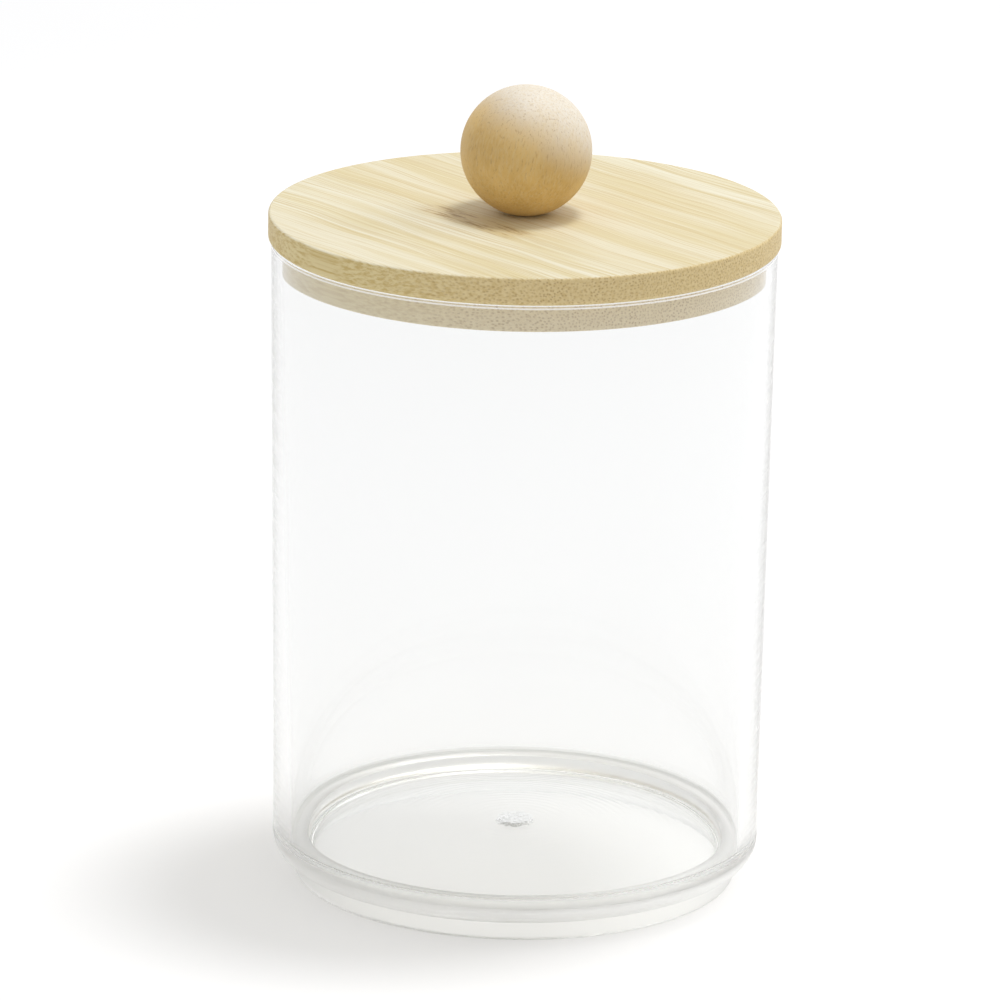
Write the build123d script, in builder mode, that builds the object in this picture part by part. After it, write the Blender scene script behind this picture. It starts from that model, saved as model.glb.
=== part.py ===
from build123d import *
from math import radians, sqrt, tan
import os

# Cotton swab holder: a clear moulded pot, a turned bamboo lid that plugs its mouth,
# and a wooden ball knob held by a screw from under the lid.
# Millimetres, +Z up, origin in the middle of the foot ring, on the table.

# Pot, outside
pot_height = 101.0
mouth_outside_radius = 38.6
wall_draft_deg = 0.6
shoulder_radius = 3.0
foot_height = 3.2
foot_shelf = 0.4
foot_ring_width = 1.8
foot_edge_radius = 0.6
foot_corner_radius = 0.3

# Pot, inside
mouth_wall = 1.2
base_wall = 2.7
rim_edge_radius = 0.45
ledge_height = 7.0
ledge_width = 2.6
ledge_corner_radius = 0.6
ledge_edge_radius = 0.4
floor_height = 4.7
floor_thickness = 2.0
floor_rise = 3.4
floor_corner_radius = 0.8
recess_corner_radius = 0.6
gate_recess_radius = 2.8
gate_recess_depth = 0.5
gate_stub_radius = 0.9
gate_stub_height = 0.4

# Lid
lid_overhang = 0.4
lid_flange_thickness = 4.0
lid_spigot_depth = 4.6
lid_spigot_clearance = 0.3
lid_edge_radius = 0.4
lid_spigot_chamfer = 0.3

# Ball knob
knob_radius = 10.0
knob_seat_radius = 2.2
pilot_spare_depth = 1.0

# Screw
screw_shank_radius = 1.5
screw_head_radius = 2.9
screw_head_rim = 0.3
screw_head_angle_deg = 90.0
screw_head_sink = 0.2
screw_length = 16.0
screw_tip_length = 3.0
screw_tip_radius = 0.15
screw_hole_clearance = 0.25
countersink_clearance = 0.1
pilot_clearance = 0.05
drive_width = 0.8
drive_span = 3.2
drive_depth = 1.5
drive_taper_deg = 8.0


def wall_outside(height):
    """Outside radius of the drafted wall at a height above the table."""
    return mouth_outside_radius - (pot_height - height) * tan(radians(wall_draft_deg))


def wall_inside(height):
    """Inside radius of the wall, which thickens evenly from the mouth to the ledge."""
    share = (pot_height - height) / (pot_height - ledge_height)
    return mouth_bore + (ledge_outer - mouth_bore) * share


def round_edge(piece, radius, height):
    """The round edge of a turned piece that lies at this radius and height."""
    edges = piece.edges().filter_by(GeomType.CIRCLE)
    return edges.sort_by(lambda e: abs(e.radius - radius) + abs(e.arc_center.Z - height))[0]


def finish(piece, name):
    """Label a finished piece and write its file."""
    piece.part.label = name
    export_step(piece.part, f"parts/{name}.step")


# Places that follow from the sizes above
shoulder_top = foot_height + shoulder_radius
foot_radius = wall_outside(shoulder_top) - shoulder_radius - foot_shelf
mouth_bore = mouth_outside_radius - mouth_wall
ledge_outer = wall_outside(ledge_height) - base_wall
ledge_inner = ledge_outer - ledge_width
recess_radius = foot_radius - foot_ring_width
recess_height = floor_height - floor_thickness
gate_height = recess_height + floor_rise
lid_radius = mouth_outside_radius + lid_overhang
lid_underside = pot_height - lid_spigot_depth
lid_top = pot_height + lid_flange_thickness
spigot_radius = wall_inside(lid_underside) - lid_spigot_clearance
knob_centre = lid_top + sqrt(knob_radius**2 - knob_seat_radius**2)
screw_head_face = lid_underside + screw_head_sink
screw_tip = screw_head_face + screw_length
head_half_angle = radians(screw_head_angle_deg / 2)

os.makedirs("parts", exist_ok=True)

# Pot: half of its section, turned about the axis. The floor rises in the middle.
with BuildPart() as jar:
    with BuildSketch(Plane.XZ):
        with BuildLine():
            wall_foot = (wall_outside(shoulder_top), shoulder_top)
            shoulder_foot = (foot_radius + foot_shelf, foot_height)
            TangentArc((0, gate_height), (recess_radius, recess_height), tangent=(1, 0))
            Polyline(
                (recess_radius, recess_height),
                (recess_radius, 0),
                (foot_radius, 0),
                (foot_radius, foot_height),
                shoulder_foot,
            )
            TangentArc(shoulder_foot, wall_foot, tangent=(1, 0))
            Polyline(
                wall_foot,
                (mouth_outside_radius, pot_height),
                (mouth_bore, pot_height),
                (ledge_outer, ledge_height),
                (ledge_inner, ledge_height),
                (ledge_inner, floor_height),
            )
            TangentArc(
                (0, floor_height + floor_rise),
                (ledge_inner, floor_height),
                tangent=(1, 0),
            )
            Line((0, floor_height + floor_rise), (0, gate_height))
        make_face()
    revolve(axis=Axis.Z)
    fillet(round_edge(jar, ledge_outer, ledge_height), radius=ledge_corner_radius)
    fillet(round_edge(jar, ledge_inner, ledge_height), radius=ledge_edge_radius)
    fillet(round_edge(jar, ledge_inner, floor_height), radius=floor_corner_radius)
    fillet(round_edge(jar, recess_radius, recess_height), radius=recess_corner_radius)
    fillet(round_edge(jar, recess_radius, 0), radius=foot_edge_radius)
    fillet(round_edge(jar, foot_radius, 0), radius=foot_edge_radius)
    fillet(round_edge(jar, foot_radius, foot_height), radius=foot_corner_radius)
    fillet(round_edge(jar, mouth_outside_radius, pot_height), radius=rim_edge_radius)
    fillet(round_edge(jar, mouth_bore, pot_height), radius=rim_edge_radius)
    # Where the plastic was shot in: a shallow round recess with the broken stub in it
    with BuildSketch(Plane.XY.offset(gate_height - gate_recess_depth)):
        Circle(gate_recess_radius)
    extrude(amount=2 * gate_recess_depth, mode=Mode.SUBTRACT)
    with BuildSketch(Plane.XY.offset(gate_height + gate_recess_depth)):
        Circle(gate_stub_radius)
    extrude(amount=-gate_stub_height)

finish(jar, "jar")

# Lid: flange and spigot turned from one board, with a countersunk hole from below
with BuildPart() as lid:
    with BuildSketch(Plane.XY.offset(pot_height)):
        Circle(lid_radius)
    extrude(amount=lid_flange_thickness)
    with BuildSketch(Plane.XY.offset(lid_underside)):
        Circle(spigot_radius)
    extrude(amount=lid_spigot_depth)
    fillet(round_edge(lid, lid_radius, lid_top), radius=lid_edge_radius)
    fillet(round_edge(lid, lid_radius, pot_height), radius=lid_edge_radius)
    chamfer(round_edge(lid, spigot_radius, lid_underside), length=lid_spigot_chamfer)
    sunk_depth = screw_head_sink + screw_head_rim + countersink_clearance
    with Locations(Location((0, 0, lid_underside), (180, 0, 0))):
        CounterSinkHole(
            radius=screw_shank_radius + screw_hole_clearance,
            counter_sink_radius=screw_head_radius + sunk_depth * tan(head_half_angle),
            counter_sink_angle=screw_head_angle_deg,
        )

finish(lid, "lid")

# Knob: a ball with a small flat seat and a blind pilot hole
with BuildPart(Plane.XY.offset(knob_centre)) as knob:
    Sphere(knob_radius)
    split(bisect_by=Plane.XY.offset(lid_top), keep=Keep.TOP)
    with Locations(Location((0, 0, lid_top - knob_centre), (180, 0, 0))):
        Hole(
            radius=screw_shank_radius + pilot_clearance,
            depth=screw_tip - lid_top + pilot_spare_depth,
        )

finish(knob, "knob")

# Screw: countersunk head below, plain shank, cone tip, cross recess in the head
with BuildPart() as knob_screw:
    with BuildSketch(Plane.XZ):
        with BuildLine():
            cone_foot = screw_head_face + screw_head_rim
            cone_height = (screw_head_radius - screw_shank_radius) / tan(head_half_angle)
            Polyline(
                (0, screw_head_face),
                (screw_head_radius, screw_head_face),
                (screw_head_radius, cone_foot),
                (screw_shank_radius, cone_foot + cone_height),
                (screw_shank_radius, screw_tip - screw_tip_length),
                (screw_tip_radius, screw_tip),
                (0, screw_tip),
                close=True,
            )
        make_face()
    revolve(axis=Axis.Z)
    with BuildSketch(Plane.XY.offset(screw_head_face)):
        Rectangle(drive_span, drive_width)
        Rectangle(drive_width, drive_span)
    extrude(amount=drive_depth, taper=drive_taper_deg, mode=Mode.SUBTRACT)

finish(knob_screw, "knob_screw")
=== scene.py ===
from math import acos, atan2, cos, pi, radians, sin, sqrt, tan

import bmesh
import bpy
from mathutils import Matrix, Vector


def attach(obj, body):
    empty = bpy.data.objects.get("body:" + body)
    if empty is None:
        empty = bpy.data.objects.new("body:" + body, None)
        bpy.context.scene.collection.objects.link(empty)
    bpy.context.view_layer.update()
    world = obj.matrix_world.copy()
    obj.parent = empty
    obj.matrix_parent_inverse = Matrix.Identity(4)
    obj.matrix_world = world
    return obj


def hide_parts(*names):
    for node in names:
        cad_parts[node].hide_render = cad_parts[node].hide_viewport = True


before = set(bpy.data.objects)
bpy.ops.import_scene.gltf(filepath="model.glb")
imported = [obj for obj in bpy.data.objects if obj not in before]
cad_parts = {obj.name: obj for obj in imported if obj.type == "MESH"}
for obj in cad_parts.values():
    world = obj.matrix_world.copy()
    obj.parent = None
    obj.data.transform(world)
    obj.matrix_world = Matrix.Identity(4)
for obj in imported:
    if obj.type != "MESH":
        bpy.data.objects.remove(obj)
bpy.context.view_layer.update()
MM = 0.001
TO_MM = (1000, 1000, 1000)

# ---------------------------------------------------------------- sizes, in mm, as in the CAD
POT_TOP = 101.0
MOUTH_OUTSIDE, MOUTH_BORE = 38.6, 37.4
WALL_FOOT = 37.576
FOOT_OUTSIDE, FOOT_INSIDE, FOOT_TOP = 34.207, 32.407, 3.2
LEDGE_OUTER, LEDGE_INNER, LEDGE_TOP = 34.916, 32.316, 7.0
FLOOR_TOP, FLOOR_UNDER, FLOOR_RISE = 4.7, 2.7, 3.4
GATE_RADIUS = 2.8
LID_RADIUS, LID_TOP = 39.0, 105.0
SPIGOT_RADIUS, SPIGOT_LOW = 36.978, 96.4
SCREW_HOLE, SCREW_SINK = 1.75, 3.5
BALL_RADIUS, SEAT_RADIUS = 10.0, 2.2
PILOT_RADIUS, PILOT_TOP = 1.55, 113.6

# ---------------------------------------------------------------- camera
SENSOR = 36.0
FOCAL_IN_FRAMES = 7.6407
CAMERA_AT = (0.0, -1124.25 * MM, 393.62 * MM)
YAW, PITCH, ROLL = -0.002773, 0.288934, 0.016383


def add_object(name, data):
    """A new object in the scene."""
    thing = bpy.data.objects.new(name, data)
    bpy.context.scene.collection.objects.link(thing)
    return thing


def make_camera():
    """The camera at the photograph's viewing angle."""
    forward = Vector((sin(YAW) * cos(PITCH), cos(YAW) * cos(PITCH), -sin(PITCH)))
    level = Vector((cos(YAW), -sin(YAW), 0.0))
    upward = level.cross(forward)
    side = cos(ROLL) * level + sin(ROLL) * upward
    top = cos(ROLL) * upward - sin(ROLL) * level
    data = bpy.data.cameras.new("camera")
    data.sensor_width = SENSOR
    data.lens = FOCAL_IN_FRAMES * SENSOR
    data.clip_end = 20.0
    camera = add_object("camera", data)
    turn = Matrix((side, top, -forward)).transposed().to_4x4()
    camera.matrix_world = Matrix.Translation(CAMERA_AT) @ turn
    bpy.context.scene.camera = camera


make_camera()
bpy.context.scene.view_settings.view_transform = "Standard"
# Light that runs round inside the clear plastic isn't cut off to black.
LIGHT_TURNS = 110
bpy.context.scene.cycles.max_bounces = LIGHT_TURNS
bpy.context.scene.cycles.glossy_bounces = LIGHT_TURNS
bpy.context.scene.cycles.transmission_bounces = LIGHT_TURNS


# ---------------------------------------------------------------- shapes
def arc(before, corner, after, radius, steps):
    """Points on the round that eases a corner between its two neighbours."""
    a = (before - corner).normalized()
    b = (after - corner).normalized()
    half = acos(max(-1.0, min(1.0, a.dot(b)))) / 2
    middle = corner + (a + b).normalized() * (radius / sin(half))
    run = radius / tan(half)
    start = corner + a * run - middle
    finish = corner + b * run - middle
    sweep = atan2(start.x * finish.y - start.y * finish.x, start.dot(finish))
    points = []
    for k in range(steps + 1):
        t = sweep * k / steps
        points.append(middle + Vector((start.x * cos(t) - start.y * sin(t),
                                       start.x * sin(t) + start.y * cos(t))))
    return points


def rounded(corners, steps=6, support=0.12):
    """Points along a run of (r, z, radius) corners, each rounded by its radius.

    Long straight stretches get a support point near each end.
    """
    spots = [Vector(corner[:2]) for corner in corners]
    out = []
    for i, (here, (_, _, radius)) in enumerate(zip(spots, corners)):
        if radius == 0 or i in (0, len(corners) - 1):
            out.append(here)
        else:
            out += arc(spots[i - 1], here, spots[i + 1], radius, steps)
    full = [out[0]]
    for p, q in zip(out[:-1], out[1:]):
        gap = (q - p).length
        if gap > 6 * support:
            way = (q - p) / gap
            full += [p + way * support, q - way * support]
        full.append(q)
    return [(p.x, p.y) for p in full]


def dome(radius, rim, rise, radii):
    """Corners on a shallow dome: rim height at this radius, rise in the middle."""
    ball = (radius ** 2 + rise ** 2) / (2 * rise)
    return [(r, rim + rise - ball + sqrt(ball ** 2 - r ** 2), 0) for r in radii]


def spread(first, last, steps):
    """Even values from first to last, both included."""
    return [first + (last - first) * k / steps for k in range(steps + 1)]


def finish_mesh(name, bm):
    """An object from a finished bmesh, with its faces turned outwards."""
    mesh = bpy.data.meshes.new(name)
    bmesh.ops.recalc_face_normals(bm, faces=bm.faces[:])
    bm.to_mesh(mesh)
    bm.free()
    return add_object(name, mesh)


def turned(name, points, segments, closed=False):
    """A piece turned about Z from (r, z) points in millimetres."""
    bm = bmesh.new()
    angles = [2 * pi * k / segments for k in range(segments)]
    rings = []
    for r, z in points:
        if r < 1e-9:
            rings.append([bm.verts.new((0, 0, z * MM))])
        else:
            rings.append([bm.verts.new((r * cos(a) * MM, r * sin(a) * MM, z * MM)) for a in angles])
    pairs = list(zip(rings[:-1], rings[1:]))
    if closed:
        pairs.append((rings[-1], rings[0]))
    for a, b in pairs:
        for k in range(segments):
            n = (k + 1) % segments
            if len(a) == 1:
                bm.faces.new((a[0], b[n], b[k]))
            elif len(b) == 1:
                bm.faces.new((a[k], a[n], b[0]))
            else:
                bm.faces.new((a[k], a[n], b[n], b[k]))
    piece = finish_mesh(name, bm)
    for face in piece.data.polygons:
        face.use_smooth = True
    piece.data.set_sharp_from_angle(angle=radians(40))
    return piece


# ---------------------------------------------------------------- materials
class Nodes:
    """Short calls for building the nodes of a material or world."""

    def __init__(self, owner):
        self.owner = owner
        owner.use_nodes = True
        self.tree = owner.node_tree
        self.tree.nodes.clear()

    def put(self, kind, ins=None, **props):
        node = self.tree.nodes.new(kind)
        for key, value in props.items():
            setattr(node, key, value)
        for key, value in (ins or {}).items():
            self.feed(node.inputs[key], value)
        return node

    def feed(self, socket, value):
        if isinstance(value, bpy.types.NodeSocket):
            self.tree.links.new(value, socket)
        else:
            socket.default_value = value

    def math(self, op, a, b=None, clamp=False):
        ins = {i: v for i, v in enumerate((a, b)) if v is not None}
        return self.put("ShaderNodeMath", ins, operation=op, use_clamp=clamp).outputs[0]

    def chain(self, op, values):
        total = values[0]
        for value in values[1:]:
            total = self.math(op, total, value)
        return total

    def times(self, *values):
        return self.chain("MULTIPLY", values)

    def add(self, *values):
        return self.chain("ADD", values)

    def most(self, *values):
        return self.chain("MAXIMUM", values)

    def mix(self, factor, a, b):
        node = self.put("ShaderNodeMix", data_type="RGBA")
        self.feed(node.inputs["Factor"], factor)
        self.feed(node.inputs[6], a)
        self.feed(node.inputs[7], b)
        return node.outputs[2]

    def ramp(self, value, low, high, to_low=0.0, to_high=1.0, smooth=True):
        ins = {"Value": value, "From Min": low, "From Max": high,
               "To Min": to_low, "To Max": to_high}
        kind = "SMOOTHSTEP" if smooth else "LINEAR"
        return self.put("ShaderNodeMapRange", ins, interpolation_type=kind).outputs[0]

    def fade(self, value, low, high):
        """1 up to low, easing to 0 at high."""
        return self.ramp(value, low, high, 1.0, 0.0)

    def between(self, value, low, high, soft):
        """1 from low to high, easing to 0 over soft on both sides."""
        return self.times(self.ramp(value, low - soft, low), self.fade(value, high, high + soft))

    def noise(self, vector, scale, detail=3.0, rough=0.55):
        ins = {"Vector": vector, "Scale": scale, "Detail": detail, "Roughness": rough}
        return self.put("ShaderNodeTexNoise", ins).outputs[0]

    def stretched(self, vector, scale, detail=2.0, rough=0.55):
        """Noise with its own scale along each axis."""
        return self.noise(self.place(vector, scale=scale), 1.0, detail, rough)

    def place(self, vector, turn=(0, 0, 0), scale=(1, 1, 1)):
        ins = {"Vector": vector, "Rotation": turn, "Scale": scale}
        return self.put("ShaderNodeMapping", ins).outputs[0]

    def coords(self):
        return self.put("ShaderNodeTexCoord").outputs

    def split(self, vector):
        return self.put("ShaderNodeSeparateXYZ", {0: vector}).outputs

    def join(self, x=0.0, y=0.0, z=0.0):
        return self.put("ShaderNodeCombineXYZ", {0: x, 1: y, 2: z}).outputs[0]

    def moved(self, vector, by):
        ins = {0: vector, 1: by}
        return self.put("ShaderNodeVectorMath", ins, operation="ADD").outputs[0]

    def length(self, vector):
        return self.put("ShaderNodeVectorMath", {0: vector}, operation="LENGTH").outputs["Value"]

    def rays(self):
        return self.put("ShaderNodeLightPath").outputs

    def bump(self, height, strength, depth):
        ins = {"Height": height, "Strength": strength, "Distance": depth}
        return self.put("ShaderNodeBump", ins).outputs[0]

    def principled(self, **ins):
        words = {key.replace("_", " "): value for key, value in ins.items()}
        return self.put("ShaderNodeBsdfPrincipled", words).outputs[0]

    def finish(self, surface, output="ShaderNodeOutputMaterial"):
        self.put(output, {"Surface": surface})
        return self.owner


def material(name):
    return Nodes(bpy.data.materials.new(name))


def srgb(r, g, b):
    """A colour given as 0-255 screen values, as a linear one."""
    out = []
    for v in (r, g, b):
        v /= 255
        out.append(v / 12.92 if v <= 0.04045 else ((v + 0.055) / 1.055) ** 2.4)
    return (*out, 1.0)


def clear_plastic():
    """Water-clear moulded plastic. Lamps pass through it with a little loss.

    Heights and radii are in millimetres, so each finish stays on its own part of the moulding.
    """
    n = material("jar_clear_plastic")
    coords = n.coords()
    spot = n.place(coords["Object"], scale=TO_MM)
    x, y, height = n.split(spot)
    radius = n.length(n.join(x, y))
    facing_up = n.split(coords["Normal"])[2]

    def zone(r_low, r_high, z_low, z_high, soft):
        rings = n.between(radius, r_low, r_high, soft)
        return n.times(rings, n.between(height, z_low, z_high, soft))

    # where each finish, and each painted dark line, lies
    under = n.times(n.fade(facing_up, -0.9, -0.6), n.fade(radius, 31.9, 32.5))
    ring = n.times(n.fade(height, 6.8, 9.0), n.ramp(radius, 31.0, 32.2))
    foot = n.times(n.fade(height, 2.6, 3.4), n.ramp(radius, 31.9, 32.4))
    shoulder = n.times(
        n.ramp(height, 3.1, 3.6), n.fade(height, 5.4, 6.4), n.ramp(radius, 34.8, 35.6),
    )
    speck = n.noise(spot, 1.6, 1.0, 0.7)
    torn = n.add(radius, n.times(speck, 2.0))
    gate = n.times(n.fade(torn, 3.5, 4.0), n.fade(height, 8.8, 9.2))
    # painted shade: thin dark lines on the round between wall and ledge and on the floor's corner,
    # standing in for the dark lines that bent light draws there
    painted_wall_corner_line = zone(34.3, 35.4, 6.9, 7.5, 0.25)
    painted_floor_corner_line = zone(31.2, 32.5, 4.5, 5.2, 0.5)
    ledge_edge = zone(32.0, 32.9, 6.4, 7.2, 0.3)
    lip = zone(38.0, 39.0, 100.7, 101.2, 0.2)
    lip_low = zone(38.2, 39.0, 100.2, 100.3, 0.15)

    # mirror-smooth wall, softer ring and rim, fine matt underside, torn gate
    rough = n.add(
        n.ramp(n.noise(coords["Object"], 900.0, 0.0), 0.3, 0.8, 0.0, 0.0035),
        n.times(ring, 0.3),
        n.times(ledge_edge, 0.2),
        n.times(under, 0.34),
        n.times(gate, n.ramp(speck, 0.3, 0.7, 0.1, 0.4)),
        n.times(n.most(lip, lip_low), 0.2),
    )
    tint_and_painted_lines = n.mix(foot, (0.968, 0.971, 0.968, 1), (0.88, 0.88, 0.845, 1))
    tint_and_painted_lines = n.mix(ring, tint_and_painted_lines, (0.978, 0.98, 0.968, 1))
    tint_and_painted_lines = n.mix(under, tint_and_painted_lines, (0.87, 0.875, 0.848, 1))
    # painted shade: the two dark corner lines are mixed into the plastic's tint here
    tint_and_painted_lines = n.mix(n.times(painted_wall_corner_line, 0.4), tint_and_painted_lines, (0.5, 0.52, 0.46, 1))
    tint_and_painted_lines = n.mix(n.times(painted_floor_corner_line, 0.4), tint_and_painted_lines, (0.66, 0.68, 0.62, 1))
    # edges and torn plastic that throw light back instead of letting it through
    shine = n.most(
        n.times(lip, 0.85),
        n.times(lip_low, 0.6),
        n.times(gate, n.ramp(speck, 0.45, 0.65, 0.95, 0.6)),
        n.times(shoulder, 0.6),
    )
    flow = n.noise(coords["Object"], 38.0, 0.0)
    body = n.principled(
        Base_Color=tint_and_painted_lines, Roughness=rough, IOR=1.49, Metallic=shine,
        Transmission_Weight=1.0, Normal=n.bump(flow, 0.05, 0.0004),
    )

    thick = n.times(n.fade(height, 4.0, 10.0), n.ramp(radius, 31.5, 32.5))
    let_by = n.mix(thick, (0.985, 0.985, 0.98, 1), (0.88, 0.88, 0.875, 1))
    passing = n.put("ShaderNodeBsdfTransparent", {"Color": let_by}).outputs[0]
    rays = n.rays()
    lamps = n.most(rays["Is Shadow Ray"], rays["Is Diffuse Ray"])
    return n.finish(n.put("ShaderNodeMixShader", {0: lamps, 1: body, 2: passing}).outputs[0])


GRAIN_TURN = (0, 0, radians(50.3))
BOARD_WIDTH, BOARD_START = 19.0, 47.0


def bamboo():
    """Laminated bamboo: long fibres across the lid, dark bundle ends where they are cut."""
    n = material("lid_bamboo")
    coords = n.coords()
    grain = n.place(coords["Object"], turn=GRAIN_TURN, scale=TO_MM)
    along, across, height = n.split(grain)
    end = n.ramp(
        n.math("ABSOLUTE", n.split(n.place(coords["Normal"], turn=GRAIN_TURN))[0]), 0.12, 0.85,
    )
    facing_up = n.ramp(n.split(coords["Normal"])[2], 0.3, 0.8)

    # the boards that make up the width, each with its own tone and its own stretch of cane
    board = n.math("FLOOR", n.math("DIVIDE", n.add(across, BOARD_START), BOARD_WIDTH))
    tone = n.put("ShaderNodeTexWhiteNoise", {"W": board}, noise_dimensions="1D").outputs[0]
    cane = n.moved(grain, n.join(n.times(tone, 90.0)))
    wander = n.stretched(cane, (0.02, 0.05, 0.05))
    fibres = n.moved(cane, n.join(y=n.times(wander, 6.0)))
    broad = n.stretched(fibres, (0.012, 0.3, 0.3), rough=0.5)
    streak = n.stretched(fibres, (0.016, 2.1, 2.1), 3.0, 0.7)
    thread = n.stretched(fibres, (0.03, 4.6, 4.6), rough=0.6)

    # the bundles' ends, dark dots on the cut faces
    _, cut_across, cut_height = n.split(fibres)
    cells = n.put(
        "ShaderNodeTexVoronoi",
        {"Vector": n.join(cut_across, cut_height), "Scale": 1.95, "Randomness": 0.8},
        voronoi_dimensions="2D",
    ).outputs["Distance"]
    patchy = n.ramp(n.noise(grain, 0.35, 2.0), 0.35, 0.65, 0.55, 1.0)
    dot = n.times(n.fade(cells, 0.1, 0.38), patchy, n.ramp(end, 0.0, 1.0, 0.1, 1.0, False))

    # a node of the cane crosses one board beside the knob: short brown flecks
    knot = n.times(
        n.ramp(along, -14.0, -8.0), n.fade(along, 8.0, 13.0),
        n.ramp(across, -13.0, -11.0), n.fade(across, -8.0, -6.5),
    )
    chips = n.ramp(n.stretched(grain, (0.22, 1.5, 1.5), 3.0, 0.65), 0.48, 0.64)

    # colours, from the pale pith to the darker threads
    top = n.mix(n.ramp(broad, 0.32, 0.66), srgb(241, 235, 211), srgb(229, 216, 174))
    top = n.mix(n.ramp(streak, 0.48, 0.66, 0.0, 0.66), top, srgb(212, 190, 134))
    top = n.mix(n.ramp(thread, 0.52, 0.64, 0.0, 0.65), top, srgb(247, 242, 223))
    top = n.mix(n.ramp(thread, 0.32, 0.46, 0.62, 0.0), top, srgb(214, 192, 138))
    top = n.mix(n.ramp(tone, 0.0, 1.0, 0.0, 0.25, False), top, srgb(224, 203, 150))
    top = n.mix(n.times(knot, 0.5), top, srgb(214, 190, 136))
    top = n.mix(n.times(knot, chips, 0.7), top, srgb(160, 120, 62))
    side = n.mix(n.ramp(streak, 0.4, 0.65), srgb(236, 218, 164), srgb(212, 186, 120))
    cut = n.mix(n.ramp(streak, 0.3, 0.75), srgb(236, 214, 162), srgb(218, 192, 134))
    body = n.mix(end, n.mix(facing_up, side, top), cut)
    # painted light: the spigot, seen only through the clear wall, is painted paler than the flange,
    # standing in for the veil of light the wall in front reflects over it
    body = n.mix(n.ramp(height, 100.8, 101.0, 0.35, 0.0), body, srgb(250, 246, 234))
    body = n.mix(n.times(dot, 0.52), body, srgb(158, 124, 76))

    relief = n.math("SUBTRACT", n.times(n.add(streak, thread), 0.5), n.times(dot, 0.5))
    return n.finish(n.principled(
        Base_Color=body, Roughness=n.ramp(streak, 0.2, 0.8, 0.48, 0.64, False),
        Specular_IOR_Level=0.35, Normal=n.bump(relief, 0.35, 0.00012),
    ))


BALL_GRAIN_TURN = (radians(4), radians(-9), 0)


def ball_wood():
    """Turned wood with short darker flecks along its grain, and a painted highlight: paler towards
    the top and a little towards the lamps' side.
    """
    n = material("knob_turned_wood")
    grain = n.place(n.coords()["Object"], turn=BALL_GRAIN_TURN, scale=TO_MM)
    cloud = n.stretched(grain, (0.16, 0.16, 0.09), 3.0)
    fine = n.stretched(grain, (2.8, 2.8, 0.6), 3.0, 0.65)
    fleck = n.stretched(grain, (3.6, 3.6, 0.8), rough=0.6)
    x, _, height = n.split(grain)
    # painted highlight: the wood is painted paler towards the top, and a little towards +x, where
    # the lamps light it
    painted_highlight_reach = n.add(height, n.times(cloud, 5.0), n.times(x, 0.35))
    body = n.mix(n.ramp(cloud, 0.3, 0.7), srgb(229, 193, 123), srgb(210, 172, 100))
    body = n.mix(n.ramp(painted_highlight_reach, 108.8, 119.2, 0.0, 0.95), body, srgb(244, 237, 224))
    body = n.mix(n.ramp(fine, 0.4, 0.7, 0.0, 0.4), body, srgb(228, 205, 158))
    body = n.mix(n.ramp(fleck, 0.54, 0.74, 0.0, 0.36), body, srgb(164, 126, 72))
    relief = n.math("SUBTRACT", fine, n.ramp(fleck, 0.56, 0.72, 0.0, 0.8))
    return n.finish(n.principled(
        Base_Color=body, Roughness=n.ramp(fine, 0.3, 0.7, 0.45, 0.6, False),
        Specular_IOR_Level=0.45, Normal=n.bump(relief, 0.4, 0.0001),
    ))


def plated_steel():
    """Bright plated steel with fine turning lines."""
    n = material("screw_plated_steel")
    lines = n.noise(n.place(n.coords()["Object"], scale=(1, 1, 14)), 900.0)
    body = n.mix(n.ramp(lines, 0.3, 0.7), (0.62, 0.62, 0.6, 1), (0.8, 0.79, 0.76, 1))
    return n.finish(n.principled(
        Base_Color=body, Metallic=1.0, Roughness=n.ramp(lines, 0.3, 0.7, 0.2, 0.38),
        Normal=n.bump(lines, 0.15, 0.00005),
    ))


# ---------------------------------------------------------------- jar
def jar_points():
    """The jar's section, from the middle of its underside to the middle of its floor."""
    gate = [(0, 6.3, 0), (0.6, 6.3, 0.1), (0.9, 6.5, 0.2), (1.8, 6.3, 0.6)]
    under = dome(FOOT_INSIDE, FLOOR_UNDER, FLOOR_RISE, spread(GATE_RADIUS, 31.6, 20))
    outside = [
        (FOOT_INSIDE, FLOOR_UNDER, 0.6), (FOOT_INSIDE, 0, 0.6),
        (FOOT_OUTSIDE, 0, 0.6), (FOOT_OUTSIDE, FOOT_TOP, 0.3),
        (WALL_FOOT, FOOT_TOP, 3.0), (MOUTH_OUTSIDE, POT_TOP, 0.45), (MOUTH_BORE, POT_TOP, 0.45),
        (LEDGE_OUTER, LEDGE_TOP, 0.6), (LEDGE_INNER, LEDGE_TOP, 0.2), (LEDGE_INNER, FLOOR_TOP, 0.8),
    ]
    floor = dome(LEDGE_INNER, FLOOR_TOP, FLOOR_RISE, spread(31.4, 0.0, 24))
    return rounded(gate + under + outside + floor)


jar = turned("jar_clear", jar_points(), 288)
jar.data.materials.append(clear_plastic())
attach(jar, "jar_body")
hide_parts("jar")


# ---------------------------------------------------------------- lid
def lid_points():
    """The board's section, all the way round, with its countersunk hole."""
    return rounded([
        (SCREW_HOLE, SPIGOT_LOW + SCREW_SINK - SCREW_HOLE, 0), (SCREW_SINK, SPIGOT_LOW, 0.08),
        (SPIGOT_RADIUS, SPIGOT_LOW, 0.3), (SPIGOT_RADIUS, POT_TOP, 0.1),
        (LID_RADIUS, POT_TOP, 0.4), (LID_RADIUS, LID_TOP, 0.4),
        (SCREW_HOLE, LID_TOP, 0.05), (SCREW_HOLE, 98.3, 0),
    ])


lid = turned("lid_bamboo_board", lid_points(), 288, closed=True)
lid.data.materials.append(bamboo())
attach(lid, "lid_body")
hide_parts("lid")


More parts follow.
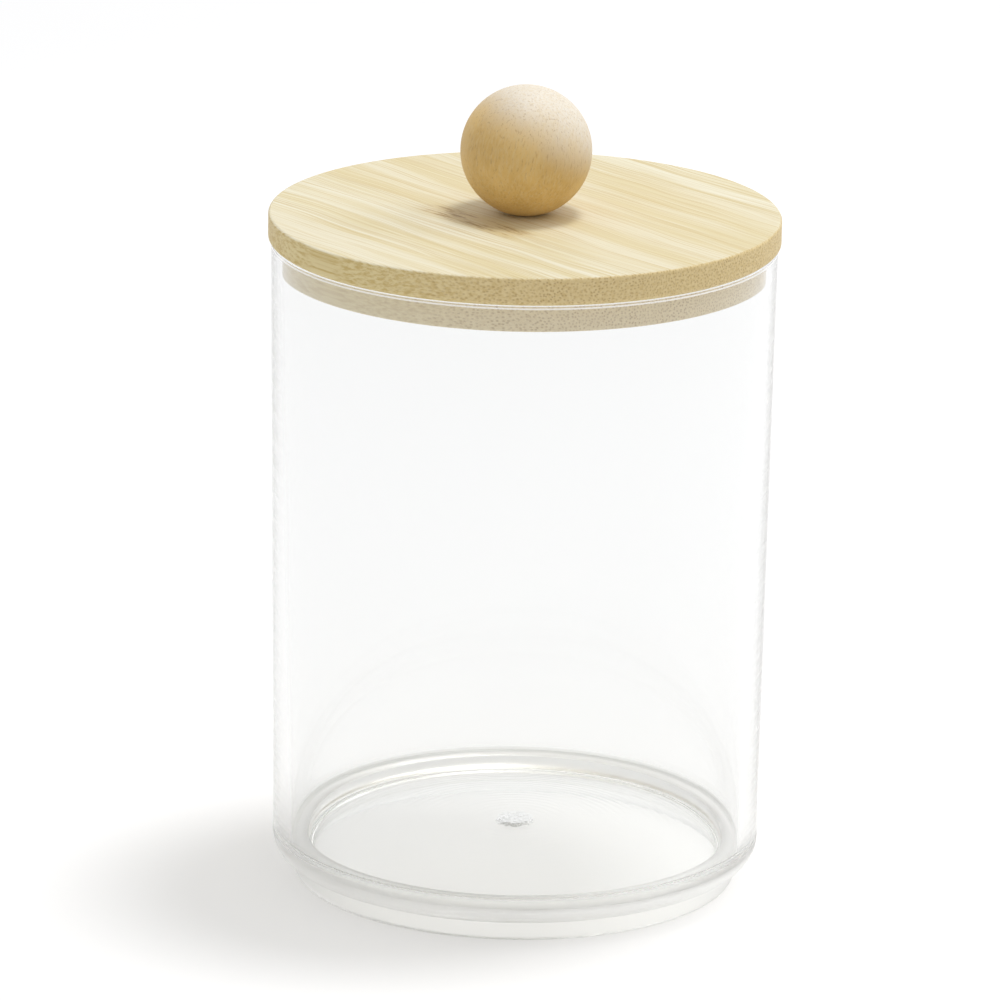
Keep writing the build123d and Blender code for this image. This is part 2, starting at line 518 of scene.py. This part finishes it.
# ---------------------------------------------------------------- knob
def knob_points():
    """Half of the ball's section with its seat and pilot hole."""
    pilot = [
        (0, PILOT_TOP, 0), (PILOT_RADIUS, PILOT_TOP, 0.1),
        (PILOT_RADIUS, LID_TOP, 0.08), (SEAT_RADIUS - 0.1, LID_TOP, 0),
    ]
    middle = LID_TOP + sqrt(BALL_RADIUS ** 2 - SEAT_RADIUS ** 2)
    seat = acos(SEAT_RADIUS / BALL_RADIUS)
    ball = [(BALL_RADIUS * cos(t), middle + BALL_RADIUS * sin(t))
            for t in spread(-seat, pi / 2, 72)[:-1]]
    return rounded(pilot) + ball + [(0, middle + BALL_RADIUS)]


knob = turned("knob_ball", knob_points(), 192)
knob.data.materials.append(ball_wood())
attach(knob, "lid_body")
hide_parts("knob")

# ---------------------------------------------------------------- screw
steel = plated_steel()
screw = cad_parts["knob_screw"]
screw.data.materials.clear()
screw.data.materials.append(steel)

THREAD_LOW, THREAD_HIGH, THREAD_PITCH = 105.6, 111.9, 1.2
THREAD_CORE, THREAD_CREST, THREAD_HALF_WIDTH = 1.47, 0.24, 0.32
TIP_START, TIP_END = 109.6, 112.6
STEPS_A_TURN = 48


def make_thread():
    """The screw's thread: a sharp ridge wound round the shank, fading out at both ends."""
    turns = (THREAD_HIGH - THREAD_LOW) / THREAD_PITCH
    steps = int(turns * STEPS_A_TURN)
    bm = bmesh.new()
    rows = []
    for k in range(steps + 1):
        z = THREAD_LOW + (THREAD_HIGH - THREAD_LOW) * k / steps
        a = 2 * pi * turns * k / steps
        core = THREAD_CORE
        if z >= TIP_START:
            core *= max(0.12, (TIP_END - z) / (TIP_END - TIP_START))
        ease = min(1.0, 8 * k / steps, 8 * (steps - k) / steps)
        crest = core + 0.03 + THREAD_CREST * ease
        ridge = ((core, -THREAD_HALF_WIDTH), (crest, 0.0), (core, THREAD_HALF_WIDTH))
        rows.append([bm.verts.new((r * cos(a) * MM, r * sin(a) * MM, (z + h) * MM))
                     for r, h in ridge])
    for a, b in zip(rows[:-1], rows[1:]):
        for i in range(3):
            j = (i + 1) % 3
            bm.faces.new((a[i], a[j], b[j], b[i]))
    bm.faces.new(rows[0][::-1])
    bm.faces.new(rows[-1])
    return finish_mesh("screw_thread", bm)


thread = make_thread()
thread.data.materials.append(steel)
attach(thread, "lid_body")

# ---------------------------------------------------------------- stage
FLOOR_COLOUR = (0.965, 0.965, 0.97, 1)
FLOOR_RADIUS, FLOOR_DROP = 2.5, 0.00002
SEEN_GLOW = 0.19
PAINTED_POOL_UNDER_JAR, THROUGH_GLOW_FAR = 0.29, 0.09
DISTANCE_GLOW = 0.4
WORLD_LIGHT = 0.54
WHITE = (1, 1, 1, 1)


def make_floor():
    """A white table that keeps the object's soft shadow.

    What the camera, a mirror or clear plastic shows of it is lifted towards white, and it
    lights nothing by that: only those rays see the glow. Right under the jar, what clear
    plastic shows is lifted further still: a painted pool of light.
    """
    n = material("stage_floor")
    rays = n.rays()
    # a ray that is bent by clear plastic counts as glossy too
    mirrored = n.math("SUBTRACT", rays["Is Glossy Ray"], rays["Is Transmission Ray"], clamp=True)
    seen = n.most(rays["Is Camera Ray"], mirrored)
    away = n.length(n.coords()["Object"])
    # painted light: right under the jar the floor seen through clear plastic glows brighter, a
    # painted pool of light; further out the lift is the plain one
    through = n.times(
        rays["Is Transmission Ray"],
        n.ramp(away, 0.036, 0.042, PAINTED_POOL_UNDER_JAR, THROUGH_GLOW_FAR),
    )
    distant = n.times(
        n.most(seen, rays["Is Transmission Ray"]), n.ramp(away, 0.5, 1.4, 0.0, DISTANCE_GLOW),
    )
    level = n.add(n.most(n.times(seen, SEEN_GLOW), through), distant)
    plain = n.put("ShaderNodeBsdfDiffuse", {"Color": FLOOR_COLOUR}).outputs[0]
    glow = n.put("ShaderNodeEmission", {"Color": WHITE, "Strength": level}).outputs[0]
    both = n.put("ShaderNodeAddShader", {0: plain, 1: glow}).outputs[0]
    bpy.ops.mesh.primitive_circle_add(
        vertices=96, radius=FLOOR_RADIUS, fill_type="NGON", location=(0, 0, -FLOOR_DROP),
    )
    floor = bpy.context.object
    floor.name = "stage_floor"
    floor.data.materials.append(n.finish(both))


def make_world():
    """Soft light from all round that the camera and clear plastic see as plain white."""
    world = bpy.data.worlds.new("studio")
    bpy.context.scene.world = world
    n = Nodes(world)
    rays = n.rays()
    shown = n.most(rays["Is Camera Ray"], rays["Is Glossy Ray"], rays["Is Transmission Ray"])
    light = n.put("ShaderNodeBackground", {"Color": WHITE, "Strength": WORLD_LIGHT}).outputs[0]
    white = n.put("ShaderNodeBackground", {"Color": WHITE, "Strength": 1.0}).outputs[0]
    both = n.put("ShaderNodeMixShader", {0: shown, 1: light, 2: white}).outputs[0]
    n.finish(both, "ShaderNodeOutputWorld")


def make_lamp(name, at, size, power, aim=(0, 0, 0.06)):
    """A round soft lamp, in metres and watts, turned to the object."""
    data = bpy.data.lights.new(name, "AREA")
    data.shape = "DISK"
    data.size = size
    data.energy = power
    turn = (Vector(aim) - Vector(at)).to_track_quat("-Z", "Y").to_matrix().to_4x4()
    add_object(name, data).matrix_world = Matrix.Translation(at) @ turn


make_floor()
make_world()
make_lamp("key", (0.19, 0.1, 1.05), 0.28, 4.0)
make_lamp("side", (0.7, 0.3, 0.75), 0.6, 1.5)

bpy.context.view_layer.update()
